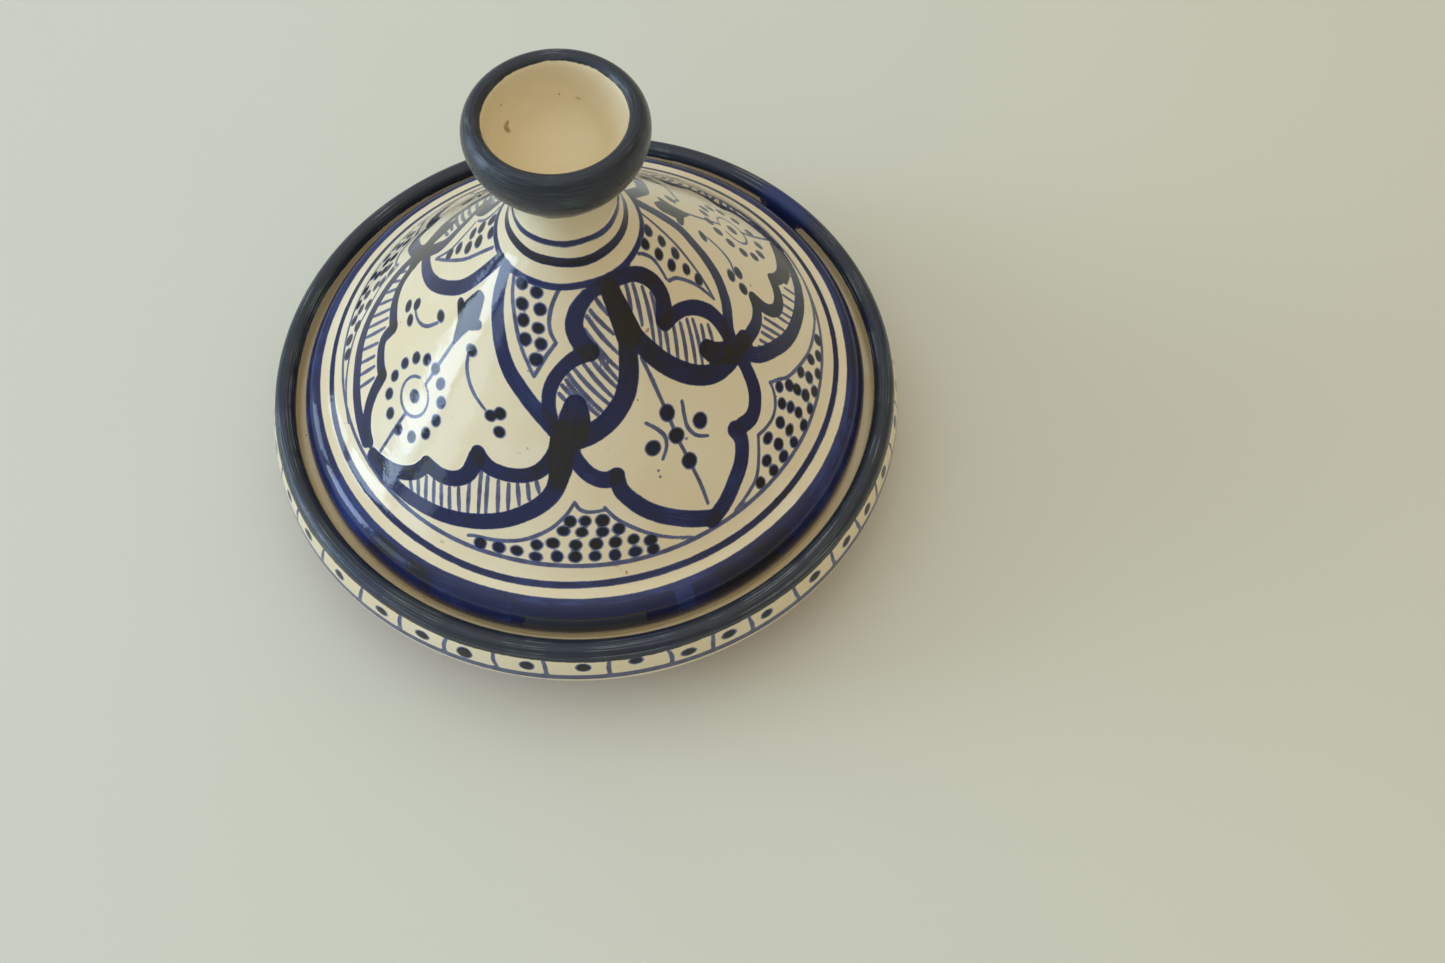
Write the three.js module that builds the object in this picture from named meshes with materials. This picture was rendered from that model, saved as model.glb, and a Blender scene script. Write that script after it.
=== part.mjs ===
// Tagine pot: a shallow round dish with a seat inside its rolled rim, and a conical
// lid that ends in a waisted neck and a hollow cup to hold it by.
// Millimetres, +Z up. The origin is on the table, at the centre of the foot ring.
// Both pieces are thrown on a wheel, so each is one outline turned about the Z axis.

import * as THREE from 'three';

// Dish, measured up from the table
const BELLY_RADIUS = 143.4;        // widest part of the outside wall
const BELLY_HEIGHT = 38;           // height of the widest part
const DISH_HEIGHT = 57.5;          // crest of the rolled rim
const RIM_TUCK = 3;                // the rim's outer edge stands this far inside the belly
const RIM_WIDTH = 9.2;             // the rolled rim, from its inner side to its outer side
const SEAT_DEPTH = 11.5;           // from the crest down to the flat that carries the lid
const SEAT_WIDTH = 12.6;           // from the rim's inner side to where the bowl drops away
const SEAT_FILLET = 2;             // between the seat and the rim's inner side
const BOWL_LIP = 3;                // rounding where the seat turns down into the bowl
const FLOOR_THICKNESS = 7.5;
const FLOOR_RADIUS = 72;           // where the flat of the floor ends
const FOOT_RADIUS = 80;            // outside of the foot ring
const FOOT_WIDTH = 9;
const FOOT_HEIGHT = 6.5;
const FOOT_TAPER = 1.5;            // the foot ring's sides lean out this much
const WALL_SPREAD = 0.45;          // how far out the wall is when it has cleared the foot, as a share
const WALL_LIFT = 4;               // and how high it is there, above the foot
const WALL_FULLNESS = 0.58;        // share of the belly's height where the wall is already upright
const BOWL_DRAW = 2;               // the bowl's wall leans in this much under its lip
const BOWL_DROP = 0.6;             // share of the bowl's depth that its wall falls before it turns
const BOWL_SWEEP = 6;              // how far beyond its middle the bowl's turn reaches outwards
const BOWL_DISH = 1;               // rise of the bowl where it starts to leave the flat floor

// Lid, measured up from its own bottom edge
const SEAT_GAP = 0.3;              // under the lid, where it rests on the seat
const LID_SIDE_CLEARANCE = 4.2;    // around the lid, inside the rim
const LID_HEIGHT = 178.7;          // bottom edge to the top of the knob
const LID_WALL = 7;
const BRIM_WIDTH = 9.5;            // flat underside of the lid that stands on the seat
const BRIM_ROUND = 1.5;            // rounding at the outer bottom corner
const SHOULDER_FOOT = 4.6;         // height where the edge starts to round over
const SHOULDER_WIDTH = 9.2;        // how far the edge rounds in
const SHOULDER_HEIGHT = 18.3;      // top of the rounded edge
const CONE_INSET = 21.6;           // from the lid's edge in to the foot of the cone
const CONE_FOOT_HEIGHT = 27.2;
const COLLAR_RADIUS = 28.3;        // top of the cone, where the neck begins
const NECK_RADIUS = 19.5;          // narrowest part of the neck
const NECK_RISE = 24;              // collar to the narrowest part
const KNOB_NECK = 15.5;            // narrowest part to the flare of the knob
const KNOB_FLARE_RADIUS = 27;
const KNOB_RADIUS = 34.5;
const KNOB_BOWL = 17.5;            // flare to the widest part of the knob
const KNOB_CROWN = 8;              // widest part to the top
const KNOB_LIP_OUTER = 5;          // crest of the knob's lip to its outer side
const KNOB_LIP_INNER = 3.5;        // crest of the knob's lip to its inner side
const CUP_DEPTH = 28;              // inside of the knob
const NECK_BORE = 9;               // radius where the hollow of the lid reaches the neck
const HOLLOW_RISE = 14;            // the hollow ends this far above the collar
const HOLLOW_FLARE = 2;            // the hollow opens this much twice on its way down to the collar
const SHOULDER_LIFT = 0.35;        // share of the shoulder's height where it starts to lean in
const SHOULDER_ROUND = 0.45;       // share of the shoulder's width where it is nearly level
const SHOULDER_EASE = 1;           // drop from the shoulder's top there
const LAND_WIDTH = 6;              // narrow land between the shoulder and the cone
const LAND_RISE = 1.2;
const COLLAR_RUN = 6.5;            // the neck keeps the cone's slope this far up
const NECK_HOLD = 0.4;             // share of the flare's height where the neck is still narrow
const FLARE_LEAN = new THREE.Vector2(4, 5);       // the flare's slope where it meets the knob
const KNOB_LEAN = new THREE.Vector2(4.5, 5.6);    // the knob's slope where it leaves the flare
const KNOB_FULLNESS = 0.35;        // share of the knob's height where it is already upright
const CUP_FULLNESS = 0.57;         // share of the cup's depth where its wall is still upright
const CUP_FLAT = 0.7;              // share of the cup's radius where its floor is nearly level

// Fineness of the turned surfaces
const TURNS = 48;
const CURVE_STEPS = 4;

// What both pieces share: the seat inside the rim
const rimOuter = BELLY_RADIUS - RIM_TUCK;
const rimInner = rimOuter - RIM_WIDTH;
const rimCentre = rimOuter - RIM_WIDTH / 2;
const rimBase = DISH_HEIGHT - RIM_WIDTH / 2;
const seatHeight = DISH_HEIGHT - SEAT_DEPTH;

// An outline is drawn as radius and height, anticlockwise from the axis back to the axis.
function turned(outline) {
  const points = outline.getPoints(CURVE_STEPS);
  const solid = new THREE.LatheGeometry(points, TURNS);
  solid.rotateX(Math.PI / 2);
  return solid;
}

function dishOutline() {
  const floorTop = FOOT_HEIGHT + FLOOR_THICKNESS;
  const footInner = FOOT_RADIUS - FOOT_WIDTH;
  const footShoulder = FOOT_RADIUS + FOOT_TAPER;
  const seatInner = rimInner - SEAT_WIDTH;
  const bowlLip = seatInner - BOWL_LIP;
  const outline = new THREE.Path();

  // underside and foot ring
  outline.moveTo(0, FOOT_HEIGHT);
  outline.lineTo(footInner - FOOT_TAPER, FOOT_HEIGHT);
  outline.lineTo(footInner, 0);
  outline.lineTo(FOOT_RADIUS, 0);
  outline.lineTo(footShoulder, FOOT_HEIGHT);

  // outside wall, swelling to the belly and tucking in under the rim
  outline.bezierCurveTo(
    footShoulder + (BELLY_RADIUS - footShoulder) * WALL_SPREAD, FOOT_HEIGHT + WALL_LIFT,
    BELLY_RADIUS, BELLY_HEIGHT * WALL_FULLNESS,
    BELLY_RADIUS, BELLY_HEIGHT,
  );
  outline.quadraticCurveTo(
    BELLY_RADIUS, (BELLY_HEIGHT + rimBase) / 2,
    rimOuter, rimBase,
  );

  // rolled rim, then down its inner side to the seat
  outline.absarc(rimCentre, rimBase, RIM_WIDTH / 2, 0, Math.PI, false);
  outline.lineTo(rimInner, seatHeight + SEAT_FILLET);
  outline.quadraticCurveTo(rimInner, seatHeight, rimInner - SEAT_FILLET, seatHeight);
  outline.lineTo(seatInner, seatHeight);

  // inside of the bowl
  outline.quadraticCurveTo(bowlLip, seatHeight, bowlLip, seatHeight - BOWL_LIP);
  outline.bezierCurveTo(
    bowlLip - BOWL_DRAW, seatHeight - (seatHeight - floorTop) * BOWL_DROP,
    (bowlLip + FLOOR_RADIUS) / 2 + BOWL_SWEEP, floorTop + BOWL_DISH,
    FLOOR_RADIUS, floorTop,
  );
  outline.lineTo(0, floorTop);
  return outline;
}

function lidOutline() {
  const bottom = seatHeight + SEAT_GAP;
  const top = bottom + LID_HEIGHT;
  const edge = rimInner - LID_SIDE_CLEARANCE;
  const brimOuter = edge - BRIM_ROUND;
  const brimInner = brimOuter - BRIM_WIDTH;

  // heights of the neck and knob hang down from the top
  const knobWide = top - KNOB_CROWN;
  const knobFlare = knobWide - KNOB_BOWL;
  const neck = knobFlare - KNOB_NECK;
  const collar = neck - NECK_RISE;

  // the cone runs straight between its foot and the collar, and the hollow follows it
  const coneFoot = new THREE.Vector2(edge - CONE_INSET, bottom + CONE_FOOT_HEIGHT);
  const coneTop = new THREE.Vector2(COLLAR_RADIUS, collar);
  const slope = coneTop.clone().sub(coneFoot).normalize();
  const inward = new THREE.Vector2(-slope.y, slope.x).multiplyScalar(LID_WALL);
  const hollowFoot = coneFoot.clone().add(inward);
  const hollowTop = coneTop.clone().add(inward);

  const lipCrest = KNOB_RADIUS - KNOB_LIP_OUTER;
  const cupRadius = lipCrest - KNOB_LIP_INNER;
  const cupSide = top - KNOB_LIP_OUTER;
  const cupFloor = top - CUP_DEPTH;
  const outline = new THREE.Path();

  // hollow of the lid, down to the flat brim
  outline.moveTo(0, collar + HOLLOW_RISE);
  outline.quadraticCurveTo(
    NECK_BORE, collar + HOLLOW_RISE,
    NECK_BORE + HOLLOW_FLARE, collar + HOLLOW_RISE / 2,
  );
  outline.quadraticCurveTo(NECK_BORE + 2 * HOLLOW_FLARE, collar, hollowTop.x, hollowTop.y);
  outline.lineTo(hollowFoot.x, hollowFoot.y);
  outline.quadraticCurveTo(
    brimInner, bottom + SHOULDER_FOOT * 2,
    brimInner, bottom,
  );
  outline.lineTo(brimOuter, bottom);

  // rounded edge, and the narrow land between it and the cone
  outline.quadraticCurveTo(edge, bottom, edge, bottom + BRIM_ROUND);
  outline.lineTo(edge, bottom + SHOULDER_FOOT);
  outline.bezierCurveTo(
    edge, bottom + SHOULDER_FOOT + SHOULDER_HEIGHT * SHOULDER_LIFT,
    edge - SHOULDER_WIDTH * SHOULDER_ROUND, bottom + SHOULDER_HEIGHT - SHOULDER_EASE,
    edge - SHOULDER_WIDTH, bottom + SHOULDER_HEIGHT,
  );
  outline.quadraticCurveTo(
    edge - SHOULDER_WIDTH - LAND_WIDTH, bottom + SHOULDER_HEIGHT + LAND_RISE,
    coneFoot.x, coneFoot.y,
  );
  outline.lineTo(coneTop.x, coneTop.y);

  // waisted neck
  outline.bezierCurveTo(
    coneTop.x + slope.x * COLLAR_RUN, coneTop.y + slope.y * COLLAR_RUN,
    NECK_RADIUS, neck - NECK_RISE / 2,
    NECK_RADIUS, neck,
  );
  outline.bezierCurveTo(
    NECK_RADIUS, neck + KNOB_NECK * NECK_HOLD,
    KNOB_FLARE_RADIUS - FLARE_LEAN.x, knobFlare - FLARE_LEAN.y,
    KNOB_FLARE_RADIUS, knobFlare,
  );

  // knob: a round-bottomed cup with a thick lip
  outline.bezierCurveTo(
    KNOB_FLARE_RADIUS + KNOB_LEAN.x, knobFlare + KNOB_LEAN.y,
    KNOB_RADIUS, knobWide - KNOB_BOWL * KNOB_FULLNESS,
    KNOB_RADIUS, knobWide,
  );
  outline.absellipse(lipCrest, knobWide, KNOB_LIP_OUTER, KNOB_CROWN, 0, Math.PI / 2, false);
  outline.absellipse(lipCrest, cupSide, KNOB_LIP_INNER, KNOB_LIP_OUTER, Math.PI / 2, Math.PI, false);
  outline.bezierCurveTo(
    cupRadius, cupSide - (cupSide - cupFloor) * CUP_FULLNESS,
    cupRadius * CUP_FLAT, cupFloor,
    0, cupFloor,
  );
  return outline;
}

function glaze(colour, roughness) {
  return new THREE.MeshStandardMaterial({ color: colour, roughness, metalness: 0 });
}

const tagine = new THREE.Group();

const dish = new THREE.Mesh(turned(dishOutline()), glaze(0x353a48, 0.3));
dish.name = 'dish';
tagine.add(dish);

const lid = new THREE.Mesh(turned(lidOutline()), glaze(0xd6cbab, 0.22));
lid.name = 'lid';
tagine.add(lid);

export default tagine;
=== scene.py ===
"""A hand-painted tagine pot: glazed dish, conical lid, and the brushwork on them.

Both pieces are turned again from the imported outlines, finely enough to carry the painting.
Each brush mark is kept on the surface as a distance in millimetres, which the glaze
materials turn into paint with soft, slightly wavering edges.
"""

import math

import bpy
import numpy as np
from mathutils import Matrix, Vector


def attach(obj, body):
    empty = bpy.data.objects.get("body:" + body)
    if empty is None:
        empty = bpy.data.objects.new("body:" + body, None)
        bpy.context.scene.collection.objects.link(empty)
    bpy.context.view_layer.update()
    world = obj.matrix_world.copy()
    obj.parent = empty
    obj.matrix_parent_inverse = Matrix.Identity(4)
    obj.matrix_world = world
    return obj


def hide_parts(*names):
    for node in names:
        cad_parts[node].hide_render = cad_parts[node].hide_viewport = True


MM = 0.001
FAR = 12.0  # millimetres: how far from a brush mark its distance is kept
rng = np.random.default_rng(7)

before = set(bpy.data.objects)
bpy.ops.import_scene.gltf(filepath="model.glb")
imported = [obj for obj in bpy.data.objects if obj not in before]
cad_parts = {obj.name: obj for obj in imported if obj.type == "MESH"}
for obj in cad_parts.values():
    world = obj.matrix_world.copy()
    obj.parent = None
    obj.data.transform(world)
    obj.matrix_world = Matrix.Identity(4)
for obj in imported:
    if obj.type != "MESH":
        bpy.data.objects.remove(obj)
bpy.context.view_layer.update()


# ---------------- camera, floor and light

CAMERA_PLACE = (0.0633, -0.3714, 0.6330)
CAMERA_PITCH = 28.67  # degrees up from looking straight down
CAMERA_ROLL = 1.39
CAMERA_LENS = 37.45
SENSOR_WIDTH = 36.0


def make_camera():
    data = bpy.data.cameras.new("camera")
    data.lens = CAMERA_LENS
    data.sensor_width = SENSOR_WIDTH
    camera = bpy.data.objects.new("camera", data)
    tilt = Matrix.Rotation(math.radians(CAMERA_PITCH), 4, "X")
    roll = Matrix.Rotation(math.radians(CAMERA_ROLL), 4, "Z")
    camera.matrix_world = Matrix.Translation(CAMERA_PLACE) @ tilt @ roll
    bpy.context.collection.objects.link(camera)
    bpy.context.scene.camera = camera


LIGHT_AIM = (0.0, 0.0, 0.08)  # a point on the pot's axis that the window faces
WINDOW_PANES = (  # (metres along the wall, width, watts)
    (-2.93, 1.50, 24.0),
    (-0.61, 2.11, 129.0),
    (1.57, 1.50, 58.0),
)
WINDOW_DISTANCE = 6.0
WINDOW_MIDDLE = 1.67
WINDOW_HEIGHT = 2.77
WINDOW_LIGHT = (0.71, 0.92, 1.20)


def area_light(name, place, size, power, colour):
    data = bpy.data.lights.new(name, "AREA")
    data.shape = "RECTANGLE"
    data.size = size[0]
    data.size_y = size[1]
    data.energy = power
    data.color = colour
    light = bpy.data.objects.new(name, data)
    aim = Vector(LIGHT_AIM) - Vector(place)
    facing = aim.to_track_quat("-Z", "Y").to_matrix().to_4x4()
    light.matrix_world = Matrix.Translation(place) @ facing
    bpy.context.collection.objects.link(light)


def make_lights():
    """A low window on the left, in three panes of uneven brightness."""
    for i, (along, width, power) in enumerate(WINDOW_PANES):
        place = (-WINDOW_DISTANCE, along, WINDOW_MIDDLE)
        area_light(f"window_{i}", place, (width, WINDOW_HEIGHT), power, WINDOW_LIGHT)


ROOM_LEFT = (0.90, 1.04, 1.12)  # light of the room from the window's side
ROOM_RIGHT = (0.70, 0.57, 0.38)  # and from the other
ROOM_LEVEL = 0.92
HORIZON = 0.50  # share of the light that is left low down
ZENITH = 1.00  # and added towards the ceiling


def make_world():
    """Room light from above, cooler from the window's side and warmer from the other."""
    world = bpy.data.worlds.new("room")
    bpy.context.scene.world = world
    s = Shader(world)
    x, _, z = s.split(s.nodes.new("ShaderNodeTexCoord").outputs["Generated"])
    ramp = s.nodes.new("ShaderNodeValToRGB")
    ramp.color_ramp.elements[0].color = (*ROOM_LEFT, 1.0)
    ramp.color_ramp.elements[1].color = (*ROOM_RIGHT, 1.0)
    s.feed(ramp.inputs["Fac"], s.math("MULTIPLY_ADD", x, 0.5, 0.5))
    upward = s.math("MULTIPLY", z, z)
    strength = s.math("MULTIPLY_ADD", upward, ZENITH * ROOM_LEVEL, HORIZON * ROOM_LEVEL)
    background = s.nodes["Background"]
    s.feed(background.inputs["Color"], ramp.outputs["Color"])
    s.feed(background.inputs["Strength"], strength)


# ---------------- materials


class Shader:
    """Short names for the shader nodes that the materials and the room are built from."""

    def __init__(self, owner):
        owner.use_nodes = True
        self.owner = owner
        self.nodes = owner.node_tree.nodes
        self.links = owner.node_tree.links
        self.surface = self.nodes.get("Principled BSDF")

    def feed(self, socket, value):
        if isinstance(value, bpy.types.NodeSocket):
            self.links.new(value, socket)
        elif isinstance(value, tuple) and socket.type == "RGBA":
            socket.default_value = (*value, 1.0)
        else:
            socket.default_value = value

    def node(self, kind, inputs, **settings):
        """A new node with these settings, its inputs fed from sockets or constants."""
        node = self.nodes.new(kind)
        for setting, value in settings.items():
            setattr(node, setting, value)
        for socket, value in inputs.items():
            self.feed(node.inputs[socket], value)
        return node

    def math(self, operation, *values):
        return self.node("ShaderNodeMath", dict(enumerate(values)), operation=operation).outputs[0]

    def vector(self, x, y, z):
        return self.node("ShaderNodeCombineXYZ", {"X": x, "Y": y, "Z": z}).outputs[0]

    def split(self, vector):
        return self.node("ShaderNodeSeparateXYZ", {0: vector}).outputs

    def attribute(self, name):
        return self.node("ShaderNodeAttribute", {}, attribute_name=name).outputs["Fac"]

    def place(self):
        return self.node("ShaderNodeTexCoord", {}).outputs["Object"]

    def noise(self, vector, scale, detail=2.0, roughness=0.5):
        inputs = {"Vector": vector, "Scale": scale, "Detail": detail, "Roughness": roughness}
        return self.node("ShaderNodeTexNoise", inputs).outputs["Fac"]

    def cells(self, vector, scale):
        return self.node("ShaderNodeTexVoronoi", {"Vector": vector, "Scale": scale}).outputs["Distance"]

    def step(self, value, low, high, start=0.0, end=1.0):
        """Smoothly from start at low to end at high."""
        inputs = {"Value": value, "From Min": low, "From Max": high, "To Min": start, "To Max": end}
        return self.node("ShaderNodeMapRange", inputs, interpolation_type="SMOOTHSTEP").outputs[0]

    def mix(self, factor, first, second):
        inputs = {"Factor": factor, 6: first, 7: second}
        return self.node("ShaderNodeMix", inputs, data_type="RGBA").outputs[2]

    def bump(self, height, distance, strength=1.0, normal=None):
        inputs = {"Strength": strength, "Distance": distance, "Height": height}
        if normal is not None:
            inputs["Normal"] = normal
        return self.node("ShaderNodeBump", inputs).outputs[0]


CREAM = (0.800, 0.700, 0.490)
CREAM_WARM = (0.760, 0.630, 0.400)
CREAM_PALE = (0.830, 0.760, 0.590)
# partly the yellower glaze pooled in the knob's cup, partly painted warm bounce light inside it
POOLED_AND_BOUNCE_YELLOW = (0.760, 0.600, 0.330)
COBALT = (0.020, 0.036, 0.150)
COBALT_THIN = (0.070, 0.105, 0.260)
NAVY = (0.008, 0.013, 0.066)
BLACK = (0.009, 0.010, 0.017)
OLIVE = (0.013, 0.012, 0.009)
GREY_WASH = (0.032, 0.038, 0.055)
RIM_INK = (0.019, 0.024, 0.033)
SLATE = (0.175, 0.205, 0.215)
MOSS = (0.070, 0.120, 0.100)
# painted shade: the brown of the shaded edge under the lid's wide band
EDGE_SHADE_BROWN = (0.150, 0.095, 0.040)
RUST = (0.240, 0.090, 0.035)
CLAY = (0.420, 0.175, 0.095)
CLAY_PALE = (0.520, 0.270, 0.165)
GLAZE_IOR = 1.43

# how much the edge of each kind of mark wavers, in millimetres
HEAVY_WAVER = 0.16
FINE_WAVER = 0.13
DOT_WAVER = 0.20
WORN_WAVER = 0.35
STAIN_WAVER = 0.45
CLAY_WAVER = 0.60


def cream_glaze(s, place):
    """Cream tin glaze: slow warm and pale drifts, fine speckle and a few pinholes."""
    drift = s.noise(place, 14.0, 3.0)
    cream = s.mix(s.step(drift, 0.35, 0.75), CREAM, CREAM_WARM)
    pale = s.noise(place, 38.0, 2.0)
    cream = s.mix(s.step(pale, 0.52, 0.80, 0.0, 0.6), cream, CREAM_PALE)
    speck = s.step(s.noise(place, 900.0, 1.0), 0.70, 0.80, 0.0, 0.25)
    cream = s.mix(speck, cream, CREAM_WARM)
    pinhole = s.step(s.cells(place, 90.0), 0.030, 0.045, 0.75, 0.0)
    return s.mix(pinhole, cream, RUST)


def wavering(s, distance, place, amount):
    """A brush mark's distance with the small waver of its edge."""
    fine = s.math("MULTIPLY_ADD", s.noise(place, 620.0, 2.0), 2.0 * amount, -amount)
    broad = s.math("MULTIPLY_ADD", s.noise(place, 150.0, 1.0), 2.4 * amount, -1.2 * amount)
    return s.math("ADD", distance, s.math("ADD", fine, broad))


def heavy_paint(s, under, place, distance, overlap, load, streak):
    """Broad strokes: blue where thin, at the edges and between bristles, black where loaded."""
    body = s.step(distance, -0.1, -1.1)
    dark = s.math("ADD", load, s.math("MULTIPLY_ADD", streak, 1.2, -0.60))
    dark = s.math("ADD", dark, s.math("MULTIPLY_ADD", s.noise(place, 40.0, 2.0), 1.3, -0.65))
    dark = s.math("ADD", dark, s.step(overlap, 0.1, -0.5, 0.0, 0.38))
    dark = s.math("MULTIPLY", dark, s.math("MULTIPLY_ADD", body, 0.75, 0.25))
    colour = s.mix(s.step(dark, 0.08, 0.48), COBALT, NAVY)
    colour = s.mix(s.step(dark, 0.66, 1.05), colour, BLACK)
    colour = s.mix(s.step(dark, 1.15, 1.42), colour, OLIVE)
    colour = s.mix(s.step(load, 1.80, 1.90), colour, GREY_WASH)
    cover = s.step(distance, 0.12, -0.40, 0.0, 0.99)
    dry = s.step(streak, 0.62, 0.86, 1.0, 0.96)
    return s.mix(s.math("MULTIPLY", cover, dry), under, colour)


def fine_paint(s, under, place, distance):
    """Thin cobalt lines, paler where the brush ran dry."""
    pool = s.step(s.noise(place, 210.0, 2.0), 0.35, 0.70)
    colour = s.mix(pool, COBALT_THIN, COBALT)
    colour = s.mix(s.step(distance, -0.2, -0.7, 0.0, 0.45), colour, NAVY)
    return s.mix(s.step(distance, 0.14, -0.25, 0.0, 0.92), under, colour)


def dot_paint(s, under, place, distance):
    """Black dots with a thin blue halo where the paint has bled."""
    under = s.mix(s.step(distance, 0.35, -0.20, 0.0, 0.90), under, COBALT_THIN)
    core = s.mix(s.step(s.noise(place, 260.0, 2.0), 0.40, 0.75), OLIVE, NAVY)
    return s.mix(s.step(distance, -0.10, -0.75), under, core)


def worn_paint(s, under, place, distance, ring_streak, blue):
    """Blue-black rim paint, dragged round the wheel, with pale rubbed streaks."""
    colour = s.mix(s.step(ring_streak, 0.40, 0.62), RIM_INK, GREY_WASH)
    tint = s.math("ADD", s.step(s.noise(place, 17.0, 1.0), 0.54, 0.70, 0.0, 0.35), blue)
    colour = s.mix(s.math("MINIMUM", tint, 1.0), colour, NAVY)
    colour = s.mix(s.step(blue, 0.35, 1.0, 0.0, 0.8), colour, COBALT)
    patches = s.step(s.noise(place, 48.0, 4.0), 0.44, 0.64)
    rubbed = s.math("MULTIPLY", s.step(ring_streak, 0.52, 0.62), patches)
    pale = s.mix(s.step(s.noise(place, 22.0, 1.0), 0.52, 0.62), SLATE, MOSS)
    colour = s.mix(s.math("MULTIPLY", rubbed, 0.90), colour, pale)
    return s.mix(s.step(distance, 0.15, -0.30), under, colour)


def bare_clay(s, under, place, distance):
    """Unglazed red clay where the glaze was wiped off."""
    grit = s.noise(place, 420.0, 4.0, 0.65)
    clay = s.mix(s.step(grit, 0.35, 0.70), CLAY, CLAY_PALE)
    clay = s.mix(s.step(s.noise(place, 22.0, 2.0), 0.55, 0.75, 0.0, 0.5), clay, CREAM)
    return s.mix(s.step(distance, 0.12, -0.12), under, clay)


def glaze_material(name):
    """Cream glaze under every layer of paint, with bare clay where the glaze ends."""
    s = Shader(bpy.data.materials.new(name))
    place = s.place()
    x, y, _ = s.split(place)
    squares = s.math("ADD", s.math("POWER", x, 2.0), s.math("POWER", y, 2.0))
    radius = s.math("MAXIMUM", s.math("SQRT", squares), MM)
    down = s.math("MULTIPLY", s.attribute("down"), 0.9)
    round_and_down = s.vector(s.math("DIVIDE", x, radius), s.math("DIVIDE", y, radius), down)
    ring_streak = s.noise(round_and_down, 2.4, 4.0, 0.6)
    stroke_ways = s.vector(s.math("MULTIPLY", s.attribute("along"), 0.10), s.attribute("across"), 0.0)
    streak = s.noise(stroke_ways, 1.1, 3.0, 0.6)

    heavy = wavering(s, s.attribute("heavy"), place, HEAVY_WAVER)
    overlap = wavering(s, s.attribute("overlap"), place, HEAVY_WAVER)
    fine = wavering(s, s.attribute("fine"), place, FINE_WAVER)
    dot = wavering(s, s.attribute("dot"), place, DOT_WAVER)
    worn = wavering(s, s.attribute("worn"), place, WORN_WAVER)
    stain = wavering(s, s.attribute("stain"), place, STAIN_WAVER)
    clay = wavering(s, s.attribute("clay"), place, CLAY_WAVER)

    # yellower inside the knob's cup: pooled glaze together with painted warm bounce light
    colour = s.mix(s.attribute("pool_and_bounce"), cream_glaze(s, place), POOLED_AND_BOUNCE_YELLOW)
    colour = s.mix(s.step(stain, 0.35, -0.55, 0.0, 0.70), colour, RUST)
    colour = fine_paint(s, colour, place, fine)
    colour = heavy_paint(s, colour, place, heavy, overlap, s.attribute("load"), streak)
    colour = dot_paint(s, colour, place, dot)
    # painted shade: brown shade at the foot of the wide band and the lid's edge below it
    colour = s.mix(s.attribute("edge_shade"), colour, EDGE_SHADE_BROWN)
    colour = worn_paint(s, colour, place, worn, ring_streak, s.attribute("blue"))
    colour = bare_clay(s, colour, place, clay)
    s.links.new(colour, s.surface.inputs["Base Color"])

    glazed = s.step(clay, -0.12, 0.12)
    shine = s.step(s.noise(place, 70.0, 3.0), 0.3, 0.8, 0.07, 0.17)
    shine = s.math("ADD", shine, s.step(worn, 0.2, -0.3, 0.0, 0.08))
    unglazed = s.step(clay, 0.12, -0.12, 0.0, 0.85)
    rough = s.math("ADD", s.math("MULTIPLY", shine, glazed), unglazed)
    s.links.new(rough, s.surface.inputs["Roughness"])
    s.surface.inputs["IOR"].default_value = GLAZE_IOR

    thrown = s.bump(s.noise(place, 55.0, 2.0), 0.0006, 0.55)
    orange_peel = s.bump(s.noise(place, 420.0, 2.0), 0.00006, 0.8, thrown)
    paint_edge = s.bump(s.step(heavy, 0.3, -0.4), 0.00004, 1.0, orange_peel)
    drag = s.math("MULTIPLY", ring_streak, s.step(worn, 0.2, -0.3))
    dragged = s.bump(drag, 0.00025, 0.8, paint_edge)
    s.links.new(dragged, s.surface.inputs["Normal"])
    return s.owner


TABLE_PAINTED_LIGHT = (0.700, 0.715, 0.635)  # painted light: the table top towards the window, cooler and lighter
TABLE_PAINTED_SHADE = (0.664, 0.620, 0.473)  # and painted shade away from it, warmer and darker
TABLE_CLOUD = (0.600, 0.600, 0.520)  # faint cloudy patches
TABLE_PAINTED_LIGHT_END = -0.35  # metres across, where the painted light turns into the painted shade
TABLE_PAINTED_SHADE_START = 0.80
FLOOR_HALF = 20.0  # metres


def floor_material():
    """A plain matt table top, with painted light: cooler and lighter towards the window, warmer and darker
    away from it.
    """
    s = Shader(bpy.data.materials.new("table_top"))
    place = s.place()
    # painted light and shade: the table's colour shifts across it as the window light falls
    side = s.step(s.split(place)[0], TABLE_PAINTED_LIGHT_END, TABLE_PAINTED_SHADE_START)
    colour = s.mix(side, TABLE_PAINTED_LIGHT, TABLE_PAINTED_SHADE)
    cloud = s.step(s.noise(place, 5.0, 3.0), 0.3, 0.7, 0.0, 0.06)
    colour = s.mix(cloud, colour, TABLE_CLOUD)
    s.links.new(colour, s.surface.inputs["Base Color"])
    s.surface.inputs["Roughness"].default_value = 0.80
    s.surface.inputs["Specular IOR Level"].default_value = 0.12
    return s.owner


def make_floor():
    half = FLOOR_HALF
    mesh = bpy.data.meshes.new("floor")
    corners = [(-half, -half, 0.0), (half, -half, 0.0), (half, half, 0.0), (-half, half, 0.0)]
    mesh.from_pydata(corners, [], [(0, 1, 2, 3)])
    mesh.materials.append(floor_material())
    floor = bpy.data.objects.new("floor", mesh)
    bpy.context.collection.objects.link(floor)


# ---------------- turned outlines

# Lengths from here on are in millimetres and angles in degrees.

ON_AXIS = 1e-6  # metres
CORNER_TURN = 35.0  # a sharper turn of the outline is a real corner
CORNER_CUT = 0.8  # how far a corner is cut back to round it
CORNER_SHARE = 0.4  # but never by more than this share of a side
STRAIGHT = 12.0  # a longer side of the outline is a straight line
FEWEST_TURNS = 40  # vertices round the smallest row
MOST_TURNS = 640  # and round the largest


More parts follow.
